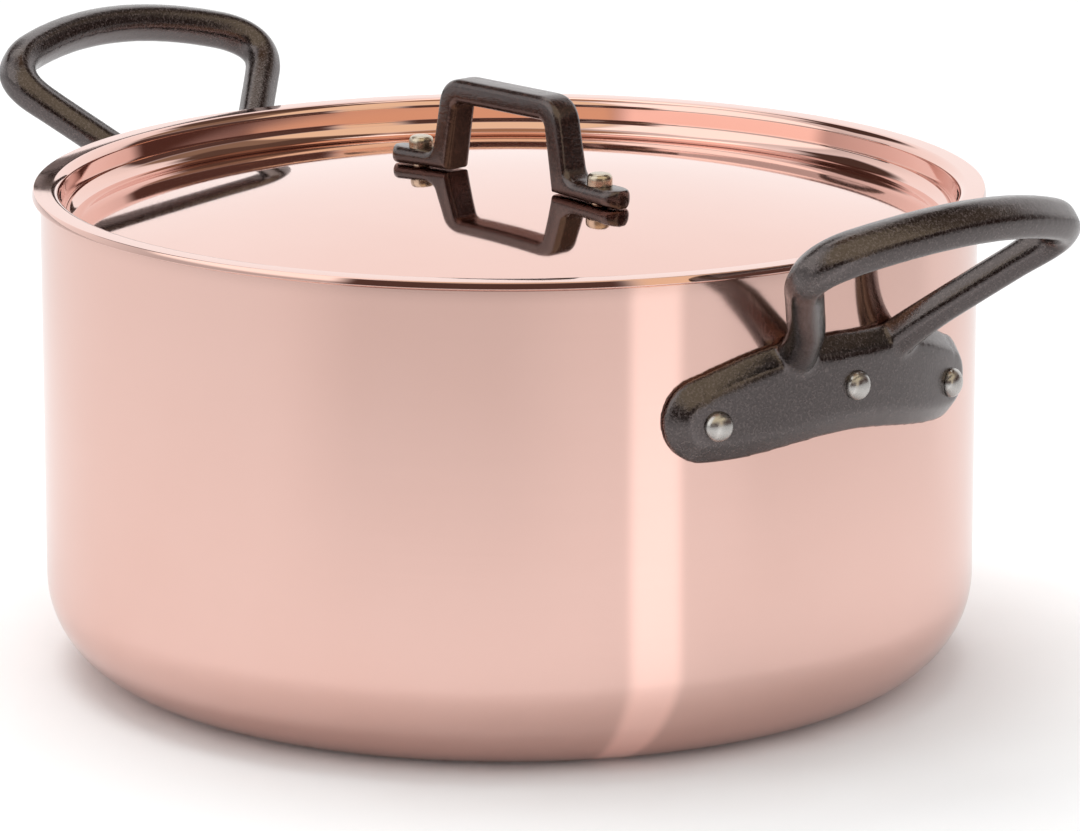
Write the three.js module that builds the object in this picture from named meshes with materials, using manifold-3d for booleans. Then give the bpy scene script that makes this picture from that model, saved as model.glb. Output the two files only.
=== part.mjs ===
// Copper stewpot with two cast-iron loop handles and a domed lid.
// Millimetres, +Z up, origin at the centre of the base on the table, +X towards the right handle.
import * as THREE from "three";
import { mergeVertices } from "three/addons/utils/BufferGeometryUtils.js";
import Module from "manifold-3d";

// Sheet: copper outside, thin stainless steel inside, rolled together.
const STEEL_T = 0.3;
const BODY_COPPER_T = 1.7;
const LID_COPPER_T = 1.5;

// Pot body.
const BODY_R = 122;
const BODY_H = 125.5;
const CORNER_R = 25;
const RIM_SOFT = 0.5;

// Lid: flange on the rim, a bend down into the mouth, a gutter and a low dome.
const LID_OVERHANG = 2.2;
const LID_PLAY = 1.3;
const LID_BEND = 2.2;
const LID_DEPTH = 12.5;
const GUTTER_R = 7;
const DOME_R = 500;
const FLANGE_SOFT = 0.6;

// Side handles: a drooping plate on the wall and a loop that leans out from it.
const RIVET_SPACING = 41;
const RIVET_Z = 95;
const RIVET_DROOP = 6;
const LOBE_R = 11;
const LOBE_PAST = 2;
const LOBE_RAISE = 0.8;
const PLATE_T = 5;
const PLATE_EDGE_T = 1.6;
const PLATE_BEVEL = 4;
const PLATE_BOTTOM_Z = 82.6;
const PLATE_TOP_Z = 108;
const SHOULDER_U = 21;
const ROOT_U = 16.6;
const ROOT_OUT = -4.5;
const ROOT_Z = 99;
const KNEE_U = 17.2;
const KNEE_OUT = 4.6;
const KNEE_Z = 107;
const LOOP_U = 47.6;
const LOOP_OUT = 32.2;
const LOOP_Z = 134;
const BAR_OUT = 43;
const BAR_Z = 141.9;
const LOOP_CORNER = 13;
const LOOP_WIDE = 5;
const BAR_TALL = 6;
const LEG_TALL = 4.5;
const ROOT_SWELL = 0.25;
const LEFT_RAISE = 5.5;
const HANDLE_ROLL_DEG = 1.5;

// Lid handle: a bracket with two leaning legs and a riveted ear at each foot.
const EAR_TIP_X = 43.6;
const LID_RIVET_X = 34.4;
const EAR_T = 4.5;
const LEG_FOOT_X = 20.2;
const LEG_TOP_X = 16.9;
const LEG_T = 6.3;
const WINDOW_H = 18.3;
const BRACKET_H = 24.7;
const BRACKET_DEPTH = 9;
const BRACKET_SOFT = 1.4;
const BRACKET_BEND = 7;
const WINDOW_SOFT = 1.8;
const EAR_SOFT = 2.2;
const EAR_FILLET = 4;
const EAR_RISE = 0.4;
const EAR_DROP = 0.7;

// Rivets.
const SHANK_R = 2.3;
const HEAD_R = 3.8;
const HEAD_H = 2.4;
const LID_HEAD_R = 3.3;
const LID_HEAD_H = 2.6;
const INNER_R = 4.4;
const INNER_H = 1.1;

// Clearances between pieces that touch.
const SEAT_GAP = 0.3;
const RIVET_GAP = 0.3;

// Facets.
const ROUND = 52;
const SMALL_ROUND = 9;

const BORE_R = BODY_R - BODY_COPPER_T - STEEL_T;
const LID_T = LID_COPPER_T + STEEL_T;
const LID_TOP = BODY_H + SEAT_GAP + LID_T;
const PLATE_BACK_R = BODY_R + SEAT_GAP;

const wasm = await Module();
wasm.setup();

// Bare indexed geometry: vertices joined, flat triangles dropped, faces turned outwards.
function tidy(geometry) {
  const bare = new THREE.BufferGeometry();
  bare.setAttribute("position", geometry.getAttribute("position").clone());
  if (geometry.index) bare.setIndex(geometry.index.clone());
  const merged = mergeVertices(bare, 1e-4);
  const index = merged.index.array;
  const position = merged.getAttribute("position");
  const a = new THREE.Vector3();
  const b = new THREE.Vector3();
  const c = new THREE.Vector3();
  const kept = [];
  let volume = 0;
  for (let i = 0; i < index.length; i += 3) {
    const [p, q, r] = [index[i], index[i + 1], index[i + 2]];
    if (p === q || q === r || r === p) continue;
    kept.push(p, q, r);
    a.fromBufferAttribute(position, p);
    b.fromBufferAttribute(position, q);
    c.fromBufferAttribute(position, r);
    volume += a.dot(b.cross(c));
  }
  if (volume < 0) kept.reverse();
  merged.setIndex(kept);
  return merged;
}

function toSolid(geometry) {
  const clean = tidy(geometry);
  const vertProperties = new Float32Array(clean.getAttribute("position").array);
  const triVerts = new Uint32Array(clean.index.array);
  return new wasm.Manifold(new wasm.Mesh({ numProp: 3, vertProperties, triVerts }));
}

function toGeometry(solid) {
  const mesh = solid.getMesh();
  const geometry = new THREE.BufferGeometry();
  const position = new THREE.BufferAttribute(new Float32Array(mesh.vertProperties), 3);
  geometry.setAttribute("position", position);
  geometry.setIndex(Array.from(mesh.triVerts));
  return geometry;
}

// Profile points (radius, height) turned about Z.
function revolve(profile, segments = ROUND) {
  const points = profile.map(([r, z]) => new THREE.Vector2(r, z));
  return tidy(new THREE.LatheGeometry(points, segments).rotateX(Math.PI / 2));
}

function arc(cx, cz, radius, from, to, steps) {
  const points = [];
  for (let i = 0; i <= steps; i += 1) {
    const angle = from + ((to - from) * i) / steps;
    points.push([cx + radius * Math.cos(angle), cz + radius * Math.sin(angle)]);
  }
  return points;
}

// A closed skin through rings of equal point count, with a flat cap at each end.
function loft(rings) {
  const count = rings[0].length;
  const position = rings.flat().flatMap((p) => [p.x, p.y, p.z]);
  const index = [];
  for (let i = 0; i + 1 < rings.length; i += 1) {
    for (let j = 0; j < count; j += 1) {
      const p = i * count + j;
      const q = i * count + ((j + 1) % count);
      index.push(p, q, p + count, q, q + count, p + count);
    }
  }
  const last = (rings.length - 1) * count;
  for (let j = 1; j + 1 < count; j += 1) {
    index.push(0, j + 1, j);
    index.push(last, last + j, last + j + 1);
  }
  const geometry = new THREE.BufferGeometry();
  geometry.setAttribute("position", new THREE.Float32BufferAttribute(position, 3));
  geometry.setIndex(index);
  return tidy(geometry);
}

// Round bar that points out from the axis at an angle and height, for the rivet holes in the wall.
function radialPin(radius, from, to, angle, z) {
  const pin = new THREE.CylinderGeometry(radius, radius, to - from, SMALL_ROUND);
  pin.rotateZ(Math.PI / 2).translate((from + to) / 2, 0, z).rotateZ(angle);
  return toSolid(pin);
}

function uprightPin(radius, from, to, x) {
  const pin = new THREE.CylinderGeometry(radius, radius, to - from, SMALL_ROUND);
  pin.rotateX(Math.PI / 2).translate(x, 0, (from + to) / 2);
  return toSolid(pin);
}

// Pot wall: the surface that lies depth inside the outer face, from the base centre to the rim.
function bodySurface(depth) {
  const centre = BODY_R - CORNER_R;
  const bend = arc(centre, CORNER_R, CORNER_R - depth, -Math.PI / 2, 0, 6);
  return [[0, depth], ...bend];
}

const bodyOuter = bodySurface(0);
const bodyBond = bodySurface(BODY_COPPER_T);
const bodyInner = bodySurface(BODY_COPPER_T + STEEL_T);
const bondR = BODY_R - BODY_COPPER_T;

const shellProfile = [
  ...bodyOuter,
  [BODY_R, BODY_H - RIM_SOFT],
  [BODY_R - RIM_SOFT, BODY_H],
  [bondR, BODY_H],
  ...bodyBond.toReversed(),
];
const liningProfile = [
  ...bodyBond,
  [bondR, BODY_H],
  [BORE_R + STEEL_T / 3, BODY_H],
  [BORE_R, BODY_H - STEEL_T],
  ...bodyInner.toReversed(),
];

// Lid sheet: the surface that lies depth below the top face, from the crown to the flange.
const bendAt = [BORE_R - LID_PLAY + LID_BEND, LID_TOP - LID_T - LID_BEND];
const gutterAt = [BORE_R - LID_PLAY - LID_T - GUTTER_R, LID_TOP - LID_DEPTH + GUTTER_R];
const domeSlope = Math.asin(gutterAt[0] / (DOME_R + GUTTER_R));
const domeCentreZ = gutterAt[1] - (DOME_R + GUTTER_R) * Math.cos(domeSlope);
const crownZ = domeCentreZ + DOME_R;

function lidSurface(depth) {
  const up = Math.PI / 2;
  const dome = arc(0, domeCentreZ, DOME_R - depth, up, up - domeSlope, 3);
  const gutter = arc(...gutterAt, GUTTER_R + depth, -up - domeSlope, 0, 5).slice(1);
  const bend = arc(...bendAt, LID_BEND + LID_T - depth, Math.PI, up, 3);
  dome[0][0] = 0;
  return [...dome, ...gutter, ...bend];
}

const flangeR = BODY_R + LID_OVERHANG;
const lidShellProfile = [
  ...lidSurface(0),
  [flangeR - FLANGE_SOFT, LID_TOP],
  [flangeR, LID_TOP - FLANGE_SOFT],
  [flangeR, LID_TOP - LID_COPPER_T],
  ...lidSurface(LID_COPPER_T).toReversed(),
];
const lidLiningProfile = [
  ...lidSurface(LID_COPPER_T),
  [flangeR - STEEL_T, LID_TOP - LID_COPPER_T],
  [flangeR - STEEL_T, LID_TOP - LID_T],
  ...lidSurface(LID_T).toReversed(),
];

// Outline of the handle plate, flattened: half-width u along the wall, height z.
const lobeU = RIVET_SPACING + LOBE_PAST;
const lobeZ = RIVET_Z - RIVET_DROOP + LOBE_RAISE;
const plateHalf = lobeU + LOBE_R;
const plateSlope = Math.atan2(PLATE_TOP_Z - lobeZ - LOBE_R, lobeU - SHOULDER_U);
const smooth = (x) => x * x * (3 - 2 * x);

function plateTop(u) {
  const past = u - lobeU;
  const lean = Math.PI / 2 - plateSlope * 0.8;
  const tangentU = lobeU + LOBE_R * Math.cos(lean);
  if (u > tangentU) return lobeZ + Math.sqrt(Math.max(LOBE_R ** 2 - past ** 2, 0));
  const tangentZ = lobeZ + LOBE_R * Math.sin(lean);
  const share = THREE.MathUtils.clamp((tangentU - u) / (tangentU - SHOULDER_U + 8), 0, 1);
  return THREE.MathUtils.lerp(tangentZ, PLATE_TOP_Z, Math.sin((share * Math.PI) / 2));
}

function plateBottom(u) {
  const past = u - lobeU;
  if (past > 0) return lobeZ - Math.sqrt(Math.max(LOBE_R ** 2 - past ** 2, 0));
  return THREE.MathUtils.lerp(PLATE_BOTTOM_Z, lobeZ - LOBE_R, smooth(u / lobeU));
}

// Thickness of the plate at a point: an edge, then a rounded bevel up to the full thickness.
function plateThickness(u, z) {
  const past = u - lobeU;
  let inside = Math.min(plateTop(u) - z, z - plateBottom(u));
  if (past > 0) inside = LOBE_R - Math.hypot(past, z - lobeZ);
  const share = THREE.MathUtils.clamp(inside / PLATE_BEVEL, 0, 1);
  return PLATE_EDGE_T + (PLATE_T - PLATE_EDGE_T) * Math.sqrt(1 - (1 - share) ** 2);
}

function plateSolid() {
  const rings = [];
  const steps = 24;
  const levels = [-1, -0.96, -0.86, -0.7, 0, 0.7, 0.86, 0.96, 1];
  for (let i = 0; i <= steps; i += 1) {
    const across = Math.sin(((i / steps) * 2 - 1) * (Math.PI / 2) * 0.985);
    const u = Math.abs(across) * plateHalf;
    const angle = (across * plateHalf) / (PLATE_BACK_R + PLATE_T / 2);
    const top = plateTop(u);
    const bottom = plateBottom(u);
    const at = (r, z) => new THREE.Vector3(r * Math.cos(angle), r * Math.sin(angle), z);
    const ring = levels.map((level) => {
      const z = (top + bottom) / 2 + (level * (top - bottom)) / 2;
      return at(PLATE_BACK_R + plateThickness(u, z), z);
    });
    ring.push(at(BODY_R - 2, top), at(BODY_R - 2, bottom));
    rings.push(ring);
  }
  return toSolid(loft(rings));
}

// Centre line of the loop: x out from the wall's axis, y along the wall, z up.
function loopPath() {
  const root = new THREE.Vector3(BODY_R + ROOT_OUT, -ROOT_U, ROOT_Z);
  const corner = new THREE.Vector3(BODY_R + LOOP_OUT, -LOOP_U, LOOP_Z);
  const knee = new THREE.Vector3(BODY_R + KNEE_OUT, -KNEE_U, KNEE_Z);
  const legStart = knee.clone().lerp(corner, 0.3);
  const legEnd = corner.clone().lerp(knee, LOOP_CORNER / corner.distanceTo(knee));
  const barAt = (s) =>
    new THREE.Vector3(
      BODY_R + THREE.MathUtils.lerp(BAR_OUT, LOOP_OUT, s * s),
      s * LOOP_U,
      THREE.MathUtils.lerp(BAR_Z, LOOP_Z, s * s),
    );
  const cut = 1 - LOOP_CORNER / LOOP_U;
  const bar = [-cut, -cut * 0.6, -cut * 0.3, 0, cut * 0.3, cut * 0.6, cut].map(barAt);
  const mirror = (p) => new THREE.Vector3(p.x, -p.y, p.z);
  const path = new THREE.CurvePath();
  path.add(new THREE.QuadraticBezierCurve3(root, knee, legStart));
  path.add(new THREE.LineCurve3(legStart, legEnd));
  path.add(new THREE.QuadraticBezierCurve3(legEnd, corner, bar[0]));
  path.add(new THREE.CatmullRomCurve3(bar));
  path.add(new THREE.QuadraticBezierCurve3(bar[6], mirror(corner), mirror(legEnd)));
  path.add(new THREE.LineCurve3(mirror(legEnd), mirror(legStart)));
  path.add(new THREE.QuadraticBezierCurve3(mirror(legStart), mirror(knee), mirror(root)));
  return path;
}

// Places of the loop's sections: few on the straight legs, close together round the two corners.
function loopSpots() {
  const path = loopPath();
  const lengths = path.getCurveLengths();
  const stepsOf = [3, 2, 6, 10, 6, 2, 3];
  return path.curves.flatMap((curve, i) => {
    const before = i === 0 ? 0 : lengths[i - 1];
    const shares = Array.from({ length: stepsOf[i] + 1 }, (_, k) => k / stepsOf[i]);
    return shares.slice(i === 0 ? 0 : 1).map((along) => ({
      centre: curve.getPointAt(along),
      tangent: curve.getTangentAt(along),
      share: (before + along * curve.getLength()) / path.getLength(),
    }));
  });
}

function loopSolid() {
  const sides = 10;
  const leanOut = new THREE.Vector3(LOOP_OUT - KNEE_OUT, 0, LOOP_Z - KNEE_Z).normalize();
  const flat = new THREE.Vector3(0, 1, 0);
  const normal = new THREE.Vector3().crossVectors(leanOut, flat).normalize();
  const rings = [];
  for (const { centre, tangent, share } of loopSpots()) {
    const wide = new THREE.Vector3().crossVectors(normal, tangent).normalize();
    const tall = new THREE.Vector3().crossVectors(tangent, wide).normalize();
    const fromRoot = Math.min(share, 1 - share) / 0.12;
    const swell = 1 + ROOT_SWELL * Math.max(0, 1 - fromRoot) ** 2;
    const onBar = smooth(THREE.MathUtils.clamp((Math.min(share, 1 - share) - 0.2) / 0.12, 0, 1));
    const tallHere = THREE.MathUtils.lerp(LEG_TALL, BAR_TALL, onBar);
    const ring = [];
    for (let j = 0; j < sides; j += 1) {
      const angle = (j / sides) * Math.PI * 2;
      const point = centre.clone();
      point.addScaledVector(wide, LOOP_WIDE * swell * Math.cos(angle));
      point.addScaledVector(tall, tallHere * swell * Math.sin(angle));
      ring.push(point);
    }
    rings.push(ring);
  }
  return toSolid(loft(rings));
}

const rivetStep = RIVET_SPACING / (PLATE_BACK_R + PLATE_T / 2);
const rivetPlaces = [
  ["front", -rivetStep, RIVET_Z - RIVET_DROOP],
  ["middle", 0, RIVET_Z],
  ["rear", rivetStep, RIVET_Z - RIVET_DROOP],
];

// The two castings are alike, but each was riveted on with its front end a little high, and the
// left one stands higher on the wall. A roll is about the middle rivet.
const roll = THREE.MathUtils.degToRad(HANDLE_ROLL_DEG);
const asCast = new THREE.Matrix4();
const handleMounts = {
  right: handleMount(0, 0, -roll),
  left: handleMount(Math.PI, LEFT_RAISE, roll),
};

function handleMount(turn, raise, lean) {
  return new THREE.Matrix4()
    .makeRotationZ(turn)
    .multiply(new THREE.Matrix4().makeTranslation(0, 0, RIVET_Z + raise))
    .multiply(new THREE.Matrix4().makeRotationX(lean))
    .multiply(new THREE.Matrix4().makeTranslation(0, 0, -RIVET_Z));
}

// Where a rivet of a mounted handle goes through the wall. It stands square to the wall there.
function rivetSpot(mount, angle, z) {
  const at = new THREE.Vector3(BODY_R * Math.cos(angle), BODY_R * Math.sin(angle), z).applyMatrix4(mount);
  return { angle: Math.atan2(at.y, at.x), z: at.z };
}

function wallHoles(solid, mounts) {
  let cut = solid;
  for (const mount of mounts) {
    for (const [, angle, z] of rivetPlaces) {
      const spot = rivetSpot(mount, angle, z);
      cut = cut.subtract(radialPin(SHANK_R + RIVET_GAP, BORE_R - 4, BODY_R + 20, spot.angle, spot.z));
    }
  }
  return cut;
}

function sideHandleGeometry() {
  const wall = new THREE.CylinderGeometry(PLATE_BACK_R, PLATE_BACK_R, BODY_H * 2, ROUND * 2);
  wall.rotateX(Math.PI / 2).translate(0, 0, BODY_H);
  const casting = plateSolid().add(loopSolid()).subtract(toSolid(wall));
  return toGeometry(wallHoles(casting, [asCast]));
}

// Rivet along local +Z, with z = 0 on the outer face of the sheet.
function rivetProfile(inside, outside, headR, headH, domed) {
  const low = -inside - INNER_H;
  const head = domed
    ? [
        [headR, outside],
        [headR * 0.97, outside + headH * 0.35],
        [headR * 0.8, outside + headH * 0.7],
        [headR * 0.45, outside + headH * 0.94],
      ]
    : [
        [headR, outside],
        [headR, outside + headH * 0.7],
        [headR * 0.85, outside + headH],
      ];
  const top = [0, outside + headH];
  return [
    [0, low],
    [INNER_R * 0.7, low],
    [INNER_R, low + INNER_H * 0.6],
    [INNER_R, -inside],
    [SHANK_R, -inside],
    [SHANK_R, outside],
    ...head,
    top,
  ];
}

// Drop of the dome below its crown at a distance from the axis, and the ear's top at its tip.
const domeDrop = (x) => x ** 2 / (2 * DOME_R);
const earTop = EAR_T - EAR_DROP * domeDrop(EAR_TIP_X);

// Lid bracket: its side view, right half and mirrored left half, z = 0 at the crown of the dome.
function bracketSide() {
  const sink = EAR_T * 1.5;
  const lean = (LEG_FOOT_X - LEG_TOP_X) / WINDOW_H;
  const outerX = (z) => LEG_FOOT_X + LEG_T - lean * z;
  const bendZ = BRACKET_H - BRACKET_BEND;
  const filletZ = earTop + EAR_FILLET;
  const half = new THREE.Path();
  half.moveTo(0, WINDOW_H);
  half.lineTo(LEG_TOP_X - WINDOW_SOFT, WINDOW_H);
  half.quadraticCurveTo(LEG_TOP_X, WINDOW_H, LEG_TOP_X + lean * WINDOW_SOFT, WINDOW_H - WINDOW_SOFT);
  half.lineTo(LEG_FOOT_X + lean * sink, -sink);
  half.lineTo(EAR_TIP_X, -sink);
  half.lineTo(EAR_TIP_X, earTop - EAR_SOFT);
  half.quadraticCurveTo(EAR_TIP_X, earTop, EAR_TIP_X - EAR_SOFT, earTop);
  half.lineTo(outerX(earTop) + EAR_FILLET, earTop + EAR_RISE);
  half.quadraticCurveTo(outerX(earTop), earTop + EAR_RISE, outerX(filletZ), filletZ);
  half.lineTo(outerX(bendZ), bendZ);
  half.quadraticCurveTo(outerX(BRACKET_H), BRACKET_H, outerX(BRACKET_H) - BRACKET_BEND, BRACKET_H);
  half.lineTo(0, BRACKET_H);
  const right = half.getPoints(4);
  const left = right.slice(1, -1).reverse();
  return new THREE.Shape([...right, ...left.map((p) => new THREE.Vector2(-p.x, p.y))]);
}

function bracketGeometry() {
  const strap = new THREE.ExtrudeGeometry(bracketSide(), {
    depth: BRACKET_DEPTH - 2 * BRACKET_SOFT,
    bevelThickness: BRACKET_SOFT,
    bevelSize: BRACKET_SOFT,
    bevelOffset: -BRACKET_SOFT,
    bevelSegments: 1,
  });
  strap.translate(0, 0, BRACKET_SOFT - BRACKET_DEPTH / 2).rotateX(Math.PI / 2);
  strap.translate(0, 0, crownZ);
  const half = BRACKET_DEPTH / 2;
  const plan = new THREE.Shape();
  plan.moveTo(-EAR_TIP_X + half, -half);
  plan.lineTo(EAR_TIP_X - half, -half);
  plan.absarc(EAR_TIP_X - half, 0, half, -Math.PI / 2, Math.PI / 2);
  plan.lineTo(-EAR_TIP_X + half, half);
  plan.absarc(-EAR_TIP_X + half, 0, half, Math.PI / 2, Math.PI * 1.5);
  const tall = new THREE.ExtrudeGeometry(plan, { depth: 60, curveSegments: 6, bevelEnabled: false });
  tall.translate(0, 0, crownZ - 20);
  const under = DOME_R + SEAT_GAP;
  const reach = EAR_TIP_X * 1.4;
  const cap = arc(0, domeCentreZ, under, Math.PI / 2 - Math.asin(reach / under), Math.PI / 2, 6);
  cap[6][0] = 0;
  const dome = revolve([[0, crownZ - 30], [reach, crownZ - 30], ...cap]);
  let bracket = toSolid(strap).intersect(toSolid(tall)).subtract(toSolid(dome));
  for (const x of [-LID_RIVET_X, LID_RIVET_X]) {
    bracket = bracket.subtract(uprightPin(SHANK_R + RIVET_GAP, crownZ - 10, crownZ + 12, x));
  }
  return toGeometry(bracket);
}

function lidHoles(geometry) {
  let solid = toSolid(geometry);
  for (const x of [-LID_RIVET_X, LID_RIVET_X]) {
    solid = solid.subtract(uprightPin(SHANK_R + RIVET_GAP, crownZ - 10, crownZ + 6, x));
  }
  return toGeometry(solid);
}

const COPPER = { color: 0xe3b7a8, roughness: 0.18, metalness: 1 };
const STEEL = { color: 0xc9c9c6, roughness: 0.3, metalness: 1 };
const IRON = { color: 0x4b4549, roughness: 0.45, metalness: 0.7 };
const RIVET_STEEL = { color: 0xc2bfbb, roughness: 0.35, metalness: 1 };

function piece(name, geometry, look) {
  const mesh = new THREE.Mesh(geometry, new THREE.MeshStandardMaterial(look));
  mesh.name = name;
  return mesh;
}

const pot = new THREE.Group();

const shell = wallHoles(toSolid(revolve(shellProfile)), Object.values(handleMounts));
const lining = wallHoles(toSolid(revolve(liningProfile)), Object.values(handleMounts));
pot.add(piece("copper_body", toGeometry(shell), COPPER));
pot.add(piece("steel_lining", toGeometry(lining), STEEL));

const handleGeometry = sideHandleGeometry();
const wallInside = BODY_R - BORE_R + SEAT_GAP;
const wallOutside = SEAT_GAP + PLATE_T + RIVET_GAP;
const rivetGeometry = revolve(rivetProfile(wallInside, wallOutside, HEAD_R, HEAD_H, true), SMALL_ROUND);
for (const [side, mount] of Object.entries(handleMounts)) {
  const handle = piece(side + "_handle", handleGeometry, IRON);
  handle.applyMatrix4(mount);
  pot.add(handle);
  for (const [place, angle, z] of rivetPlaces) {
    const spot = rivetSpot(mount, angle, z);
    const seat = new THREE.Group();
    seat.rotation.z = spot.angle;
    const rivet = piece(side + "_rivet_" + place, rivetGeometry, RIVET_STEEL);
    rivet.position.set(BODY_R, 0, spot.z);
    rivet.rotation.y = Math.PI / 2;
    seat.add(rivet);
    pot.add(seat);
  }
}

const lid = new THREE.Group();
lid.add(piece("lid_shell", lidHoles(revolve(lidShellProfile)), COPPER));
lid.add(piece("lid_lining", lidHoles(revolve(lidLiningProfile)), STEEL));
lid.add(piece("lid_handle", bracketGeometry(), IRON));

const domeTilt = (LID_RIVET_X / DOME_R) * INNER_R;
const earAbove = earTop + EAR_RISE + domeDrop(LID_RIVET_X);
const lidInside = LID_T + SEAT_GAP + domeTilt;
const lidRivet = rivetProfile(lidInside, earAbove + RIVET_GAP, LID_HEAD_R, LID_HEAD_H, false);
const lidRivetGeometry = revolve(lidRivet, SMALL_ROUND);
for (const [name, x] of [
  ["lid_rivet_left", -LID_RIVET_X],
  ["lid_rivet_right", LID_RIVET_X],
]) {
  const rivet = piece(name, lidRivetGeometry, RIVET_STEEL);
  rivet.position.set(x, 0, crownZ - domeDrop(LID_RIVET_X));
  lid.add(rivet);
}
pot.add(lid);

export default pot;
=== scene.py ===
# %% [markdown]
# A round copper cooking pot with a lid stands on a white studio floor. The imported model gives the
# real sizes and the two bodies, the pot and the lid that lifts off it. Polished copper shows every
# flat facet in its reflections, so each piece is worked out again here as a fine, smooth surface
# on its measures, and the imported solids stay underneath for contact.

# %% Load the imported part
import math
import bpy
import numpy as np
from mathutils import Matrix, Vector


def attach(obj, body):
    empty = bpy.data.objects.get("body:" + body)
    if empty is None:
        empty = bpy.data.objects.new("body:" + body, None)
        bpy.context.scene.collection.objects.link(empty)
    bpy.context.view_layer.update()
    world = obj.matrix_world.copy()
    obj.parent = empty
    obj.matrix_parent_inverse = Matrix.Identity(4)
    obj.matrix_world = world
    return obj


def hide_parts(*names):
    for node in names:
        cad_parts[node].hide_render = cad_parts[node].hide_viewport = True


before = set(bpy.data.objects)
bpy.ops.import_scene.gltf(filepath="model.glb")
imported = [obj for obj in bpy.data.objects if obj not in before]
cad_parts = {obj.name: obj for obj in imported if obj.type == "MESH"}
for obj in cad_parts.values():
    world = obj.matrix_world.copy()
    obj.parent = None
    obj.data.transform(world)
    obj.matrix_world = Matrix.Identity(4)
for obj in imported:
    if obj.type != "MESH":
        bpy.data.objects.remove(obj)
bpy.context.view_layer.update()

# %% [markdown]
# Most of the pot is turned: the body is spun over a former, the lid is pressed, and the rivets are
# round. A turned piece is one profile carried round an axis, which numpy can do for all of its
# points at once. The distance along the profile is kept on each point, because the polishing marks
# of a turned piece follow it.

# %% A profile carried round the axis
MM = 0.001


def arc(centre_r, centre_z, radius, start, end, count):
    """Points of a circle: the centre plus radius times the cosine and sine of an angle in degrees."""
    angle = np.radians(np.linspace(start, end, count))
    return np.column_stack([centre_r + radius * np.cos(angle), centre_z + radius * np.sin(angle)])


def turned_surface(profile, turns):
    """Grid of profile point and turn: x = r cos a, y = r sin a, z = z. Both ends of the profile lie
    on the axis, where the ring shrinks to a single pole."""
    a = np.linspace(0, 2 * np.pi, turns, endpoint=False)
    r, z = profile[1:-1, 0], profile[1:-1, 1]
    rings = np.stack([np.outer(r, np.cos(a)), np.outer(r, np.sin(a)), np.outer(z, np.ones(turns))], -1)
    poles = np.array([[0, 0, profile[0, 1]], [0, 0, profile[-1, 1]]])
    points = np.vstack([rings.reshape(-1, 3), poles])
    here = np.arange(r.size * turns).reshape(r.size, turns)
    side = np.roll(here, -1, axis=1)
    quads = np.stack([here[:-1], side[:-1], side[1:], here[1:]], -1).reshape(-1, 4)
    low = np.stack([np.full(turns, here.size), side[0], here[0]], -1)
    high = np.stack([np.full(turns, here.size + 1), here[-1], side[-1]], -1)
    steps = np.concatenate([[0], np.cumsum(np.hypot(*np.diff(profile, axis=0).T))])
    along = np.concatenate([np.repeat(steps[1:-1], turns), steps[[0, -1]]])
    share = np.concatenate([np.tile(np.arange(turns) / turns, r.size), [0, 0]])
    return points, quads.tolist() + low.tolist() + high.tolist(), np.column_stack([along, share])


def make_piece(name, points_mm, faces, sharp=40, track=None):
    """Put points in millimetres and their faces into a mesh object that stays at the origin. A track
    holds each point's distance along the profile and its share of a turn, and becomes a UV map."""
    mesh = bpy.data.meshes.new(name)
    mesh.from_pydata((points_mm * MM).tolist(), [], faces)
    mesh.shade_smooth()
    mesh.set_sharp_from_angle(angle=math.radians(sharp))
    if track is not None:
        along = mesh.attributes.new("along", "FLOAT", "POINT")
        along.data.foreach_set("value", (track[:, 0] * MM).astype(np.float32))
        point_of = np.empty(len(mesh.loops), np.int32)
        mesh.loops.foreach_get("vertex_index", point_of)
        sides = np.empty(len(mesh.polygons), np.int32)
        mesh.polygons.foreach_get("loop_total", sides)
        starts = np.concatenate([[0], np.cumsum(sides)[:-1]])
        round_it = track[point_of, 1]
        across_seam = np.maximum.reduceat(round_it, starts) > 0.75
        round_it = round_it + (np.repeat(across_seam, sides) & (round_it < 0.25))
        flat = mesh.uv_layers.new(name="turned")
        both = np.column_stack([track[point_of, 0] * MM, round_it])
        flat.data.foreach_set("uv", both.ravel().astype(np.float32))
    piece = bpy.data.objects.new(name, mesh)
    bpy.context.collection.objects.link(piece)
    print(name, "has", len(mesh.polygons), "faces")
    return piece


def dress(piece, body, node, finish):
    """Tie a piece to the body it moves with, the node it stands for, and its finish."""
    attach(piece, body)
    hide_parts(node)
    piece.data.materials.append(finish)


# %% [markdown]
# Polished copper has almost no colour of its own to show: it tints what it mirrors. The tint comes
# from the metal's base colour, and what makes it look like a real pot rather than a mirror ball is
# the faint grain that the polishing wheel leaves round the piece. The grain here is noise that is
# stretched along the turn, by reading the distance along the profile many times faster than the
# place round the axis.

# %% Helpers for the finishes
def new_finish(name, colour, metallic, roughness):
    """A material with one shader whose uniform values sit on the shader's own sockets."""
    finish = bpy.data.materials.new(name)
    finish.use_nodes = True
    shader = finish.node_tree.nodes["Principled BSDF"]
    shader.inputs["Base Color"].default_value = (*colour, 1)
    shader.inputs["Metallic"].default_value = metallic
    shader.inputs["Roughness"].default_value = roughness
    return finish, finish.node_tree, shader


def add(tree, kind, values=(), **settings):
    """Add a node, set its options, then set or link its inputs by name or number."""
    node = tree.nodes.new("ShaderNode" + kind)
    for option, value in settings.items():
        setattr(node, option, value)
    for key, value in dict(values).items():
        if isinstance(value, bpy.types.NodeSocket):
            tree.links.new(value, node.inputs[key])
        else:
            node.inputs[key].default_value = value
    return node


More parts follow.
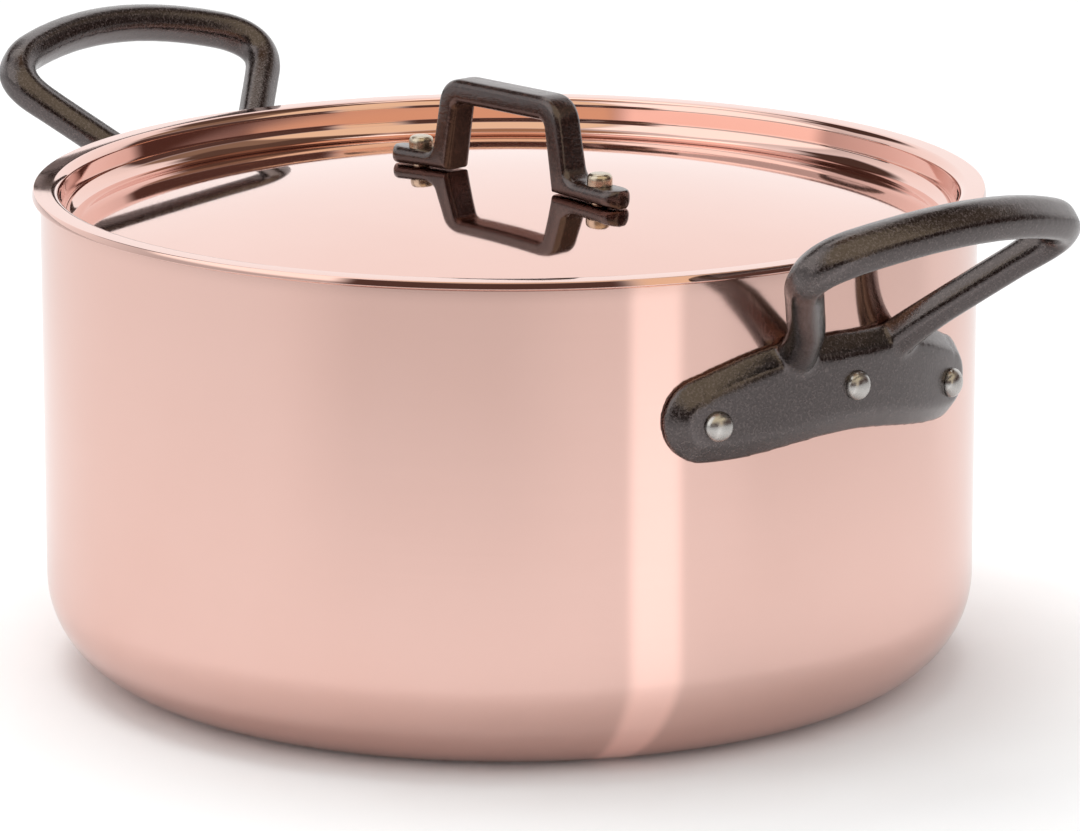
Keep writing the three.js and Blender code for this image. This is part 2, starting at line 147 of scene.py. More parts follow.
def turned_grain(tree, fine, slow):
    """Noise over (x, y, distance along the profile), squeezed along the profile into fine rings."""
    place = add(tree, "TexCoord").outputs["Object"]
    split = add(tree, "SeparateXYZ", {0: place})
    along = add(tree, "Attribute", attribute_name="along").outputs["Fac"]
    x = add(tree, "Math", {0: split.outputs["X"], 1: slow}, operation="MULTIPLY").outputs[0]
    y = add(tree, "Math", {0: split.outputs["Y"], 1: slow}, operation="MULTIPLY").outputs[0]
    ring = add(tree, "Math", {0: along, 1: fine}, operation="MULTIPLY").outputs[0]
    spun = add(tree, "CombineXYZ", {"X": x, "Y": y, "Z": ring}).outputs[0]
    return add(tree, "TexNoise", {"Vector": spun, "Scale": 1.0, "Detail": 3.0}).outputs["Fac"]


def spread(tree, value, low, high, start=0.3, end=0.7):
    """Map a noise value onto a range."""
    node = add(tree, "MapRange", {"Value": value, "From Min": start, "From Max": end,
                                  "To Min": low, "To Max": high})
    return node.outputs[0]


# %% Copper finish
def copper_finish(name, colour, rough, grain_depth, brushed):
    """Polished copper: ring grain in the height and roughness, and cloudy shifts of tone. The grain
    smears reflections along the profile, which the anisotropy and its tangent give."""
    finish, tree, shader = new_finish(name, colour, 1.0, rough)
    shader.inputs["Anisotropic"].default_value = brushed
    lay = add(tree, "Tangent", direction_type="UV_MAP", uv_map="turned")
    tree.links.new(lay.outputs[0], shader.inputs["Tangent"])
    grain = turned_grain(tree, 2600.0, 9.0)
    place = add(tree, "TexCoord").outputs["Object"]
    cloud = add(tree, "TexNoise", {"Vector": place, "Scale": 14.0, "Detail": 3.0}).outputs["Fac"]
    tone = add(tree, "ValToRGB", {0: cloud})
    dark = tuple(c * f for c, f in zip(colour, (0.975, 0.955, 0.945)))
    tone.color_ramp.elements[0].position, tone.color_ramp.elements[1].position = 0.35, 0.65
    tone.color_ramp.elements[0].color = (*dark, 1)
    tone.color_ramp.elements[1].color = (*colour, 1)
    tree.links.new(tone.outputs[0], shader.inputs["Base Color"])
    haze = add(tree, "Math", {0: spread(tree, grain, -0.01, 0.015), 1: spread(tree, cloud, 0, 0.02)})
    level = add(tree, "Math", {0: haze.outputs[0], 1: rough})
    tree.links.new(level.outputs[0], shader.inputs["Roughness"])
    bump = add(tree, "Bump", {"Strength": 0.04, "Distance": grain_depth, "Height": grain})
    tree.links.new(bump.outputs[0], shader.inputs["Normal"])
    return finish


COPPER = (0.83, 0.555, 0.49)
body_copper = copper_finish("body_copper", COPPER, 0.105, 0.00002, 0.92)
lid_copper = copper_finish("lid_copper", COPPER, 0.035, 0.00001, 0.3)
print("copper finishes:", body_copper.name, lid_copper.name)

# %% [markdown]
# The body is a flat base, a generous quarter circle and a straight wall, all in one sheet of copper
# with a thin skin of stainless steel bonded to its inside. Both skins use the same profile at
# different depths below the outer face.

# %% Copper body and its steel lining
BODY_R, BODY_H, CORNER_R, RIM_SOFT = 122.0, 125.5, 25.0, 0.5
BODY_COPPER_T, STEEL_T = 1.7, 0.3


def pot_wall(depth):
    """Profile at a depth below the outer face: level base, quarter circle, then straight up."""
    base_r = np.linspace(0, BODY_R - CORNER_R, 15)[:-1]
    base = np.column_stack([base_r, np.full_like(base_r, depth)])
    corner = arc(BODY_R - CORNER_R, CORNER_R, CORNER_R - depth, -90, 0, 41)
    side_z = np.linspace(CORNER_R, BODY_H - RIM_SOFT, 30)[1:]
    side = np.column_stack([np.full_like(side_z, BODY_R - depth), side_z])
    return np.vstack([base, corner, side])


bond_r, bore_r = BODY_R - BODY_COPPER_T, BODY_R - BODY_COPPER_T - STEEL_T
soft_rim = arc(BODY_R - RIM_SOFT, BODY_H - RIM_SOFT, RIM_SOFT, 0, 90, 7)[1:]
copper_profile = np.vstack([pot_wall(0), soft_rim, [[bond_r, BODY_H]], pot_wall(BODY_COPPER_T)[::-1]])
body_points, body_faces, body_along = turned_surface(copper_profile, 256)
copper_body = make_piece("copper_body_skin", body_points, body_faces, track=body_along)
dress(copper_body, "pot", "copper_body", body_copper)

lip = np.array([[bond_r, BODY_H], [bore_r + 0.1, BODY_H], [bore_r, BODY_H - 0.2]])
lining_profile = np.vstack([pot_wall(BODY_COPPER_T), lip, pot_wall(BODY_COPPER_T + STEEL_T)[::-1]])
lining_points, lining_faces, lining_along = turned_surface(lining_profile, 256)
steel_lining = make_piece("steel_lining_skin", lining_points, lining_faces, track=lining_along)


def lining_finish():
    """Satin stainless steel: strong ring grain from the spinning and a soft, wide gloss."""
    finish, tree, shader = new_finish("lining_steel", (0.62, 0.61, 0.59), 1.0, 0.28)
    grain = turned_grain(tree, 1800.0, 7.0)
    tree.links.new(spread(tree, grain, 0.22, 0.36), shader.inputs["Roughness"])
    bump = add(tree, "Bump", {"Strength": 0.4, "Distance": 0.00003, "Height": grain})
    tree.links.new(bump.outputs[0], shader.inputs["Normal"])
    return finish


satin_steel = lining_finish()
dress(steel_lining, "pot", "steel_lining", satin_steel)

# %% [markdown]
# The lid is pressed from one disc. From the rim inwards it runs flat, bends down into the mouth of
# the pot, turns through a round gutter and rises to a low dome. The gutter and bends are where the
# copper mirrors light and dark in thin bands, so they carry more profile points than the dome.

# %% Profile of the lid
LID_COPPER_T, LID_T = 1.5, 1.8
LID_TOP, FLANGE_R = 127.6, 124.2
GUTTER_AT, GUTTER_R, TOP_BEND, LOW_BEND = (112.4, 122.1), 4.5, 2.4, 4.0
DOME_R = 608.0
dome_slope = math.degrees(math.asin(GUTTER_AT[0] / (DOME_R + GUTTER_R)))
dome_z = GUTTER_AT[1] - (DOME_R + GUTTER_R) * math.cos(math.radians(dome_slope))
crown_z = dome_z + DOME_R
print("crown of the lid at", round(crown_z, 2), "mm")


def lid_sheet(depth):
    """Profile at a depth below the top face: dome arc, gutter arc, wall, then the bend to the flange."""
    dome = arc(0, dome_z, DOME_R - depth, 90, 90 - dome_slope, 49)
    gutter = arc(*GUTTER_AT, GUTTER_R + depth, -90 - dome_slope, 0, 41)[1:]
    corner = TOP_BEND if depth == 0 else LOW_BEND - depth
    wall_r = GUTTER_AT[0] + GUTTER_R + depth
    bend = arc(wall_r + corner, LID_TOP - depth - corner, corner, 180, 90, 25)
    dome[0, 0] = 0
    return np.vstack([dome, gutter, bend])


# %% Flange edge, lid and lining
EDGE_LOW, EDGE_HIGH, EDGE_SOFT, EDGE_UNDER, LIP_R = 8.0, 18.0, 0.25, 0.1, 122.3
edge_rise = math.sin(math.radians(EDGE_HIGH)) - math.sin(math.radians(EDGE_LOW))
edge_r = (LID_T - EDGE_UNDER - EDGE_SOFT * (1 - math.sin(math.radians(EDGE_HIGH)))) / edge_rise
edge_face = arc(FLANGE_R - edge_r, 0, edge_r, EDGE_LOW, EDGE_HIGH, 13)
edge_face[:, 1] += LID_TOP - LID_T + EDGE_UNDER - edge_face[0, 1]
turn_over = arc(0, 0, EDGE_SOFT, EDGE_HIGH, 90, 11)
edge = np.vstack([
    [[LIP_R, LID_TOP - LID_COPPER_T], [LIP_R, LID_TOP - LID_T]],
    arc(edge_face[0, 0] - EDGE_UNDER, edge_face[0, 1], EDGE_UNDER, -90, 0, 5)[:-1],
    edge_face,
    (turn_over - turn_over[0] + edge_face[-1])[1:],
])
print("flange edge runs from", edge[0].round(2), "to", edge[-1].round(2), "mm")
lid_profile = np.vstack([lid_sheet(LID_COPPER_T), edge, lid_sheet(0)[::-1]])
lid_points, lid_faces, lid_along = turned_surface(lid_profile, 256)
lid_shell = make_piece("lid_shell_skin", lid_points, lid_faces, track=lid_along)
dress(lid_shell, "lid", "lid_shell", lid_copper)

lid_edge = np.array([[LIP_R - 0.1, LID_TOP - LID_T], [LIP_R - 0.1, LID_TOP - LID_COPPER_T]])
lid_lining_profile = np.vstack([lid_sheet(LID_T), lid_edge, lid_sheet(LID_COPPER_T)[::-1]])
under_points, under_faces, under_along = turned_surface(lid_lining_profile, 256)
lid_lining = make_piece("lid_lining_skin", under_points, under_faces, track=under_along)
dress(lid_lining, "lid", "lid_lining", satin_steel)

# %% [markdown]
# Each side handle is a single iron casting: a plate that follows the wall and droops to a round
# lobe at both ends, and a loop that leans out from it. A casting has no crease where the loop grows
# out of the plate. The plate and the loop are therefore two surfaces in one mesh, which a voxel
# remesh joins into one skin and a smoothing pass rounds, as the sand mould would.

# %% Handle plate
PLATE_BACK_R, PLATE_T, PLATE_EDGE_T, PLATE_BEVEL = 122.3, 5.0, 1.3, 5.0
PLATE_TOP_Z, PLATE_BOTTOM_Z, SHOULDER_U = 108.0, 82.6, 21.0
LOBE_R, LOBE_U, LOBE_Z = 11.0, 43.0, 89.8
plate_r = PLATE_BACK_R + PLATE_T / 2
plate_half = LOBE_U + LOBE_R
shoulder_lean = math.pi / 2 - 0.8 * math.atan2(PLATE_TOP_Z - LOBE_Z - LOBE_R, LOBE_U - SHOULDER_U)


def smooth_step(x):
    """Ease from 0 to 1: three x squared less two x cubed."""
    x = np.clip(x, 0, 1)
    return x * x * (3 - 2 * x)


def plate_edges(u):
    """Top and bottom height of the plate at a distance u along the wall: the lobe's circle past its
    tangent point, and before it a quarter sine up to the shoulder and an eased line below."""
    past = u - LOBE_U
    circle = np.sqrt(np.maximum(LOBE_R**2 - past**2, 0))
    tangent_u = LOBE_U + LOBE_R * math.cos(shoulder_lean)
    tangent_z = LOBE_Z + LOBE_R * math.sin(shoulder_lean)
    share = np.clip((tangent_u - u) / (tangent_u - SHOULDER_U + 8), 0, 1)
    rise = tangent_z + (PLATE_TOP_Z - tangent_z) * np.sin(share * np.pi / 2)
    top = np.where(u > tangent_u, LOBE_Z + circle, rise)
    fall = PLATE_BOTTOM_Z + (LOBE_Z - LOBE_R - PLATE_BOTTOM_Z) * smooth_step(u / LOBE_U)
    return top, np.where(past > 0, LOBE_Z - circle, fall)


def tube_faces(rings, ring_size):
    """Quads between neighbouring closed rings, and one face over each end."""
    here = np.arange(rings * ring_size).reshape(rings, ring_size)
    side = np.roll(here, -1, axis=1)
    quads = np.stack([here[:-1], side[:-1], side[1:], here[1:]], -1).reshape(-1, 4)
    return quads.tolist() + [here[0, ::-1].tolist(), here[-1].tolist()]


def plate_surface(stations, levels):
    """Grid of station along the wall and level across the plate: the face stands off the wall by an
    edge thickness plus an even bevel, and a flat back closes each ring."""
    across = np.sin(np.linspace(-1, 1, stations) * np.pi / 2 * 0.985)
    u = np.abs(across)[:, None] * plate_half
    top, bottom = plate_edges(u)
    level = np.sin(np.linspace(-1, 1, levels) * np.pi / 2)
    z = (top + bottom) / 2 + level * (top - bottom) / 2
    inside = np.minimum(top - z, z - bottom)
    inside = np.where(u > LOBE_U, LOBE_R - np.hypot(u - LOBE_U, z - LOBE_Z), inside)
    share = np.clip(inside / PLATE_BEVEL, 0, 1)
    face_r = PLATE_BACK_R + PLATE_EDGE_T + (PLATE_T - PLATE_EDGE_T) * share
    r = np.hstack([face_r, np.full_like(z, PLATE_BACK_R)])
    z = np.hstack([z, z[:, ::-1]])
    angle = across[:, None] * plate_half / plate_r
    points = np.stack([r * np.cos(angle), r * np.sin(angle), z], -1)
    return points.reshape(-1, 3), tube_faces(stations, 2 * levels)


plate_points, plate_faces = plate_surface(121, 33)
print("plate spans", plate_points.min(0).round(1), "to", plate_points.max(0).round(1), "mm")

# %% Handle loop
ROOT, KNEE, CORNER = (117.5, -16.6, 99.0), (126.6, -17.2, 107.0), (154.2, -47.6, 134.0)
BAR_OUT, BAR_Z, LOOP_CORNER = 164.85, 141.9, 13.0
LOOP_WIDE, LEG_TALL, BAR_TALL, ROOT_SWELL = 5.0, 4.5, 6.0, 0.3
RIDGE, RIDGE_AT = 0.03, math.radians(-145)


def bezier(a, b, c, count):
    """Quadratic curve from a to c that leaves and arrives along the lines to b."""
    t = np.linspace(0, 1, count)[:, None]
    return (1 - t) ** 2 * a + 2 * t * (1 - t) * b + t**2 * c


def loop_path(count):
    """One half from root to bar (curve, line, curve, bowed bar), mirrored, spaced evenly by length."""
    root, knee, corner = map(np.array, (ROOT, KNEE, CORNER))
    leg = np.linalg.norm(corner - knee)
    leg_start, leg_end = knee + 0.3 * (corner - knee), corner + (knee - corner) * LOOP_CORNER / leg
    s = np.linspace(1 - LOOP_CORNER / -corner[1], 0, 40)[:, None]
    bow = np.hstack([BAR_OUT + (corner[0] - BAR_OUT) * s**2, corner[1] * s,
                     BAR_Z + (corner[2] - BAR_Z) * s**2])
    half = np.vstack([bezier(root, knee, leg_start, 30)[:-1], leg_start, bezier(leg_end, corner, bow[0], 30),
                      bow[1:]])
    path = np.vstack([half, half[-2::-1] * [1, -1, 1]])
    length = np.concatenate([[0], np.cumsum(np.linalg.norm(np.diff(path, axis=0), axis=1))])
    even = np.linspace(0, length[-1], count)
    return np.column_stack([np.interp(even, length, path[:, i]) for i in range(3)])


def loop_surface(stations, sides):
    """A rounded six-sided oval carried along the loop: wide in the loop's own plane, tall across it,
    each radius eased out towards six soft ridges, with a swell where it grows out of the plate. What
    would go into the pot's wall is pushed out onto it."""
    path = loop_path(stations)
    tangent = np.gradient(path, axis=0)
    tangent /= np.linalg.norm(tangent, axis=1, keepdims=True)
    lean = np.array([CORNER[0] - KNEE[0], 0, CORNER[2] - KNEE[2]])
    normal = np.cross(lean, [0, 1, 0]) / np.linalg.norm(lean)
    wide = np.cross(normal, tangent)
    wide /= np.linalg.norm(wide, axis=1, keepdims=True)
    tall = np.cross(tangent, wide)
    share = np.linspace(0, 1, stations)
    end = np.minimum(share, 1 - share)[:, None]
    swell = 1 + ROOT_SWELL * np.maximum(0, 1 - end / 0.12) ** 2
    tall_here = LEG_TALL + (BAR_TALL - LEG_TALL) * smooth_step((end - 0.2) / 0.12)
    a = np.linspace(0, 2 * np.pi, sides, endpoint=False)
    six = 1 - RIDGE + RIDGE * np.cos(6 * (a - RIDGE_AT))
    points = (path[:, None] + wide[:, None] * (LOOP_WIDE * swell * six * np.cos(a))[..., None]
              + tall[:, None] * (tall_here * swell * six * np.sin(a))[..., None]).reshape(-1, 3)
    r = np.hypot(points[:, 0], points[:, 1])[:, None]
    points[:, :2] *= np.maximum(r, PLATE_BACK_R) / r
    return points, tube_faces(stations, sides)


loop_points, loop_faces = loop_surface(221, 48)
print("loop spans", loop_points.min(0).round(1), "to", loop_points.max(0).round(1), "mm")

# %% [markdown]
# The castings are dark, lightly oiled iron. The surface keeps a fine sandy grain from the mould,
# which breaks every highlight into small specks, and broader, barely visible dips. Two noises of
# different size make the height, and the oil makes some patches glossier than others.

# %% Iron finish
def iron_finish(name, dark, light, grain_mm, rough):
    """Oiled cast iron: fine grain and broad dips in the height, patchy gloss, two close tones."""
    finish, tree, shader = new_finish(name, light, 0.0, rough)
    shader.inputs["IOR"].default_value = 1.92
    shader.inputs["Specular Tint"].default_value = (1.0, 0.86, 0.85, 1)
    place = add(tree, "TexCoord").outputs["Object"]
    sand = add(tree, "TexNoise", {"Vector": place, "Scale": 1 / (grain_mm * MM), "Detail": 4.0,
                                  "Roughness": 0.62}).outputs["Fac"]
    dips = add(tree, "TexNoise", {"Vector": place, "Scale": 190.0, "Detail": 2.0}).outputs["Fac"]
    tone = add(tree, "ValToRGB", {0: sand})
    tone.color_ramp.elements[0].position, tone.color_ramp.elements[1].position = 0.47, 0.78
    tone.color_ramp.elements[0].color = (*dark, 1)
    tone.color_ramp.elements[1].color = (*light, 1)
    tree.links.new(tone.outputs[0], shader.inputs["Base Color"])
    tree.links.new(spread(tree, dips, rough - 0.05, rough + 0.08), shader.inputs["Roughness"])
    height = add(tree, "Math", {0: sand, 1: dips}, operation="ADD").outputs[0]
    bump = add(tree, "Bump", {"Strength": 0.5, "Distance": 0.00015, "Height": height})
    tree.links.new(bump.outputs[0], shader.inputs["Normal"])
    return finish


handle_iron = iron_finish("handle_iron", (0.002, 0.0014, 0.001), (0.105, 0.084, 0.080), 0.6, 0.10)

# %% Two side handles
RIVET_SPACING, RIVET_Z, RIVET_DROOP = 41.0, 95.0, 6.0
ROLL = math.radians(1.5)
MOUNTS = {"right": (0.0, 0.0, -ROLL), "left": (math.pi, 5.5, ROLL)}


def mounted(points, hand):
    """Roll points about the middle rivet, raise them, then turn them round the pot's axis."""
    turn, lift, roll = MOUNTS[hand]
    c, s = math.cos(roll), math.sin(roll)
    rolled = (points - [0, 0, RIVET_Z]) @ np.array([[1, 0, 0], [0, c, s], [0, -s, c]])
    c, s = math.cos(turn), math.sin(turn)
    return (rolled + [0, 0, RIVET_Z + lift]) @ np.array([[c, s, 0], [-s, c, 0], [0, 0, 1]])


def side_handle(name, hand):
    """Plate and loop in one mesh, set on the pot as it was riveted, then joined and smoothed."""
    points = np.vstack([plate_points, loop_points])
    shift = len(plate_points)
    faces = plate_faces + [[i + shift for i in face] for face in loop_faces]
    piece = make_piece(name, mounted(points, hand), faces)
    join = piece.modifiers.new("join", "REMESH")
    join.mode, join.voxel_size, join.use_smooth_shade = "VOXEL", 0.0006, True
    soften = piece.modifiers.new("soften", "SMOOTH")
    soften.factor, soften.iterations = 0.5, 14
    return piece


right_handle = side_handle("right_handle_casting", "right")
dress(right_handle, "pot", "right_handle", handle_iron)
left_handle = side_handle("left_handle_casting", "left")
dress(left_handle, "pot", "left_handle", handle_iron)

# %% [markdown]
# The lid handle is a small cast bracket: two legs that lean in a little, a bar on top and an ear at
# each foot that is curved to the dome. Its side view says it all, so that outline is carried
# through its depth, drawn in near both faces to soften the edges, and the ears are rounded in plan.

# %% Lid handle
EAR_TIP_X, EAR_T, LEG_FOOT_X, LEG_TOP_X, LEG_T = 43.6, 4.5, 20.2, 16.9, 6.3
WINDOW_H, BRACKET_H, BRACKET_DEPTH, BRACKET_SOFT, SEAT_GAP = 18.3, 24.7, 9.0, 2.0, 0.3
WINDOW_SOFT, BRACKET_BEND, EAR_FILLET, EAR_RISE = 1.8, 7.0, 4.0, 0.4
leg_lean = (LEG_FOOT_X - LEG_TOP_X) / WINDOW_H
ear_top = EAR_T - 0.7 * EAR_TIP_X**2 / (2 * DOME_R)


def seat(x):
    """Height of the dome's top above its crown at a distance x, plus the seating gap."""
    return np.sqrt((DOME_R + SEAT_GAP) ** 2 - x**2) - DOME_R


def leg_outer(z):
    """Outer face of a leg at a height, which leans in as it rises."""
    return LEG_FOOT_X + LEG_T - leg_lean * z


def even_pieces(parts, counts):
    """Join curves, each spaced evenly by length with its own count, into one row of points."""
    rows = []
    for part, count in zip(parts, counts):
        part = np.asarray(part, float)
        length = np.concatenate([[0], np.cumsum(np.linalg.norm(np.diff(part, axis=0), axis=1))])
        even = np.linspace(0, length[-1], count, endpoint=False)
        rows.append(np.column_stack([np.interp(even, length, part[:, i]) for i in range(2)]))
    return np.vstack(rows)


def bracket_edges():
    """Inner and outer edge of the strap in the side view, point for point, from the middle of the bar
    down a leg and out to the tip of the ear."""
    counts = (24, 16, 40, 18, 40)
    def curve(a, b, c):
        return bezier(np.array(a), np.array(b), np.array(c), 20)

    bend_z, fillet_z = BRACKET_H - BRACKET_BEND, ear_top + EAR_FILLET
    turn_in = curve((LEG_TOP_X - WINDOW_SOFT, WINDOW_H), (LEG_TOP_X, WINDOW_H),
                    (LEG_TOP_X + leg_lean * WINDOW_SOFT, WINDOW_H - WINDOW_SOFT))
    turn_out = curve((leg_outer(BRACKET_H) - BRACKET_BEND, BRACKET_H), (leg_outer(BRACKET_H), BRACKET_H),
                     (leg_outer(bend_z), bend_z))
    fillet = curve((leg_outer(fillet_z), fillet_z), (leg_outer(ear_top), ear_top + EAR_RISE),
                   (leg_outer(ear_top) + EAR_FILLET, ear_top + EAR_RISE))
    foot, ear_x = LEG_FOOT_X, leg_outer(ear_top) + EAR_FILLET
    under_leg, under_ear = np.linspace(foot, ear_x, 20), np.linspace(ear_x, EAR_TIP_X, 40)
    inner = even_pieces([
        [(0, WINDOW_H), turn_in[0]], turn_in, [turn_in[-1], (foot, seat(foot))],
        np.column_stack([under_leg, seat(under_leg)]), np.column_stack([under_ear, seat(under_ear)]),
    ], counts)
    outer = even_pieces([
        [(0, BRACKET_H), turn_out[0]], turn_out, [turn_out[-1], fillet[0]], fillet,
        [fillet[-1], (EAR_TIP_X, ear_top)],
    ], counts)
    return inner, outer


def bracket_surface():
    """A rounded rectangle carried along the strap: it spans from the inner to the outer edge of the
    side view and over the depth, with quarter-circle corners, and past the ear's centre its depth
    shrinks as a half circle."""
    inner, outer = bracket_edges()
    inner = np.vstack([inner[:0:-1] * [-1, 1], inner])
    outer = np.vstack([outer[:0:-1] * [-1, 1], outer])
    across = outer - inner
    thick = np.linalg.norm(across, axis=1)[:, None]
    across = across / thick
    t = np.linspace(0, np.pi / 2, 7)
    half = BRACKET_DEPTH / 2
    bend_w, bend_y = BRACKET_SOFT * (1 - np.sin(t)), BRACKET_SOFT * (1 - np.cos(t))
    w_high = np.concatenate([-bend_w, -bend_w[::-1]])
    y_high = np.concatenate([half - bend_y, -half + bend_y[::-1]])
    w = np.hstack([thick + w_high, np.repeat(-w_high[None, ::-1], len(thick), 0)])
    y = np.concatenate([y_high, y_high[::-1]])
    x = np.abs((inner + outer)[:, :1] / 2)
    past = np.clip((x - (EAR_TIP_X - half)) / half, 0, 0.98)
    depth = y[None] * np.sqrt(1 - past**2)
    side = inner[:, None] + across[:, None] * w[..., None]
    points = np.stack([side[..., 0], depth, side[..., 1] + crown_z], -1)
    return points.reshape(-1, 3), tube_faces(len(inner), w.shape[1])


bracket_points, bracket_faces = bracket_surface()
lid_handle = make_piece("lid_handle_casting", bracket_points, bracket_faces, sharp=50)
lid_iron = iron_finish("lid_iron", (0.006, 0.0022, 0.0016), (0.075, 0.035, 0.026), 0.7, 0.12)
dress(lid_handle, "lid", "lid_handle", lid_iron)

# %% [markdown]
# Rivets hold the castings on. Each is a short pin with a head that was formed outside and a low head
# inside the pot. The side rivets have domed heads and the two on the lid are flat with a rounded
# edge, so one profile with a different squareness serves both.

# %% Shape of a rivet
SHANK_R, INNER_R, INNER_H = 2.3, 4.4, 1.1


def rivet_profile(inside, outside, head_r, head_h, square):
    """Inner head, shank and outer head. The head is a rounded curve: radius by a power of the cosine
    and height by the same power of the sine, squarer as the power falls."""
    t = np.radians(np.linspace(0, 90, 25))
    head = np.column_stack([head_r * np.cos(t) ** (2 / square), outside + head_h * np.sin(t) ** (2 / square)])
    head[-1, 0] = 0
    low = -inside - INNER_H
    under = np.column_stack([INNER_R * np.sin(t) ** 0.8, -inside - INNER_H * np.cos(t) ** 0.8])
    under[0] = 0, low
    return np.vstack([under, [[SHANK_R, -inside], [SHANK_R, outside]], head])


def place_rivet(name, profile, origin, axis, body, node, finish):
    """Turn a rivet's own axis onto a direction and move it to its hole."""
    points, faces, along = turned_surface(profile, 48)
    axis = np.array(axis, float)
    first = np.cross([0, 1, 0], axis) if abs(axis[1]) < 0.9 else np.array([1.0, 0, 0])
    first /= np.linalg.norm(first)
    second = np.cross(axis, first)
    points = points @ np.stack([first, second, axis]) + np.array(origin)
    piece = make_piece(name, points, faces, track=along)
    dress(piece, body, node, finish)


# %% Rivet finish
def rivet_finish(name, colour, rough):
    """Bright steel: a pressed head with fine scuffs in every direction."""
    finish, tree, shader = new_finish(name, colour, 1.0, rough)
    place = add(tree, "TexCoord").outputs["Object"]
    scuff = add(tree, "TexNoise", {"Vector": place, "Scale": 900.0, "Detail": 4.0}).outputs["Fac"]
    tree.links.new(spread(tree, scuff, rough - 0.05, rough + 0.12), shader.inputs["Roughness"])
    bump = add(tree, "Bump", {"Strength": 0.3, "Distance": 0.00004, "Height": scuff})
    tree.links.new(bump.outputs[0], shader.inputs["Normal"])
    return finish


side_steel = rivet_finish("side_rivet_steel", (0.50, 0.48, 0.46), 0.24)
lid_steel = rivet_finish("lid_rivet_steel", (0.56, 0.48, 0.38), 0.22)

# %% Rivets in their holes
rivet_angle = RIVET_SPACING / plate_r
side_profile = rivet_profile(2.3, 5.3, 3.8, 2.7, 2.2)
for hand in MOUNTS:
    for stand, share in (("front", -1), ("middle", 0), ("rear", 1)):
        round_by = share * rivet_angle
        drilled = np.array([[BODY_R * math.cos(round_by), BODY_R * math.sin(round_by),
                             RIVET_Z - RIVET_DROOP * abs(share)]])
        hole = mounted(drilled, hand)[0]
        outward = np.array([hole[0], hole[1], 0.0]) / math.hypot(hole[0], hole[1])
        hole[:2] = BODY_R * outward[:2]
        name = f"{hand}_rivet_{stand}"
        place_rivet(name + "_head", side_profile, hole, outward, "pot", name, side_steel)
LID_RIVET_X = 34.4
dome_drop = LID_RIVET_X**2 / (2 * DOME_R)
ear_above = ear_top + 0.25 + dome_drop
lid_pin = rivet_profile(2.4, ear_above, 3.3, 3.2, 4.5)
for hand, x in (("left", -LID_RIVET_X), ("right", LID_RIVET_X)):
    name = f"lid_rivet_{hand}"
    place_rivet(name + "_head", lid_pin, (x, 0.0, crown_z - dome_drop), (0, 0, 1), "lid", name, lid_steel)

# %% [markdown]
# The pot stands on a flat sheet of white paper. The camera sees the paper a little whiter than the
# light it gives back, which makes the background white without more light on the pot. Copper shows
# Copper shows the paper again in its wall, so painted shade darkens the sheet with distance and
# more towards the viewer's side, and one narrow wedge of it is lighter for mirrored rays alone: a
# painted reflection that is the bright streak beside the right handle.

# %% White floor
CAMERA_AT = (1.17578, -1.07741, 0.450577)
LOOKS_AT = (-0.00114, 0.01198, 0.0625)

floor_mesh = bpy.data.meshes.new("white_floor")
FAR, UNDER = 4.0, -0.0004
sheet = [(-FAR, -FAR, UNDER), (FAR, -FAR, UNDER), (FAR, FAR, UNDER), (-FAR, FAR, UNDER)]
floor_mesh.from_pydata(sheet, [], [(0, 1, 2, 3)])
floor = bpy.data.objects.new("white_floor", floor_mesh)
bpy.context.collection.objects.link(floor)

# %% Directions round the pot
camera_turn = math.atan2(CAMERA_AT[1], CAMERA_AT[0])


def ease(tree, value, start, end):
    """Soft step from 0 at start to 1 at end."""
    node = add(tree, "MapRange", {"Value": value, "From Min": start, "From Max": end},
               interpolation_type="SMOOTHSTEP")
    return node.outputs[0]


def between(tree, value, low, high, soft):
    """1 between two limits and 0 outside, with an even fade over a width at each limit."""
    rise, fall = ease(tree, value, low - soft, low + soft), ease(tree, value, high + soft, high - soft)
    return add(tree, "Math", {0: rise, 1: fall}, operation="MULTIPLY").outputs[0]


def angle_round(tree, spot):
    """Direction of a spot seen from above the pot, in degrees from the viewer towards the right."""
    toward = (math.cos(camera_turn), math.sin(camera_turn), 0)
    right = (-math.sin(camera_turn), math.cos(camera_turn), 0)
    ahead = add(tree, "VectorMath", {0: spot, 1: toward}, operation="DOT_PRODUCT").outputs["Value"]
    aside = add(tree, "VectorMath", {0: spot, 1: right}, operation="DOT_PRODUCT").outputs["Value"]
    turn = add(tree, "Math", {0: aside, 1: ahead}, operation="ARCTAN2").outputs[0]
    return add(tree, "Math", {0: turn}, operation="DEGREES").outputs[0]


# %% Paper finish
# Painted reflection of a strip of light: where the lighter wedge of paper starts, its edges, and how much
# lighter it is.
STREAK_AHEAD, STREAK_ASIDE, STREAK_EDGES, STREAK_LIFT = 0.069, 0.003, (29.2, 41.6), 0.33
STREAK_FROM = (STREAK_AHEAD * math.cos(camera_turn) - STREAK_ASIDE * math.sin(camera_turn),
               STREAK_AHEAD * math.sin(camera_turn) + STREAK_ASIDE * math.cos(camera_turn), 0)


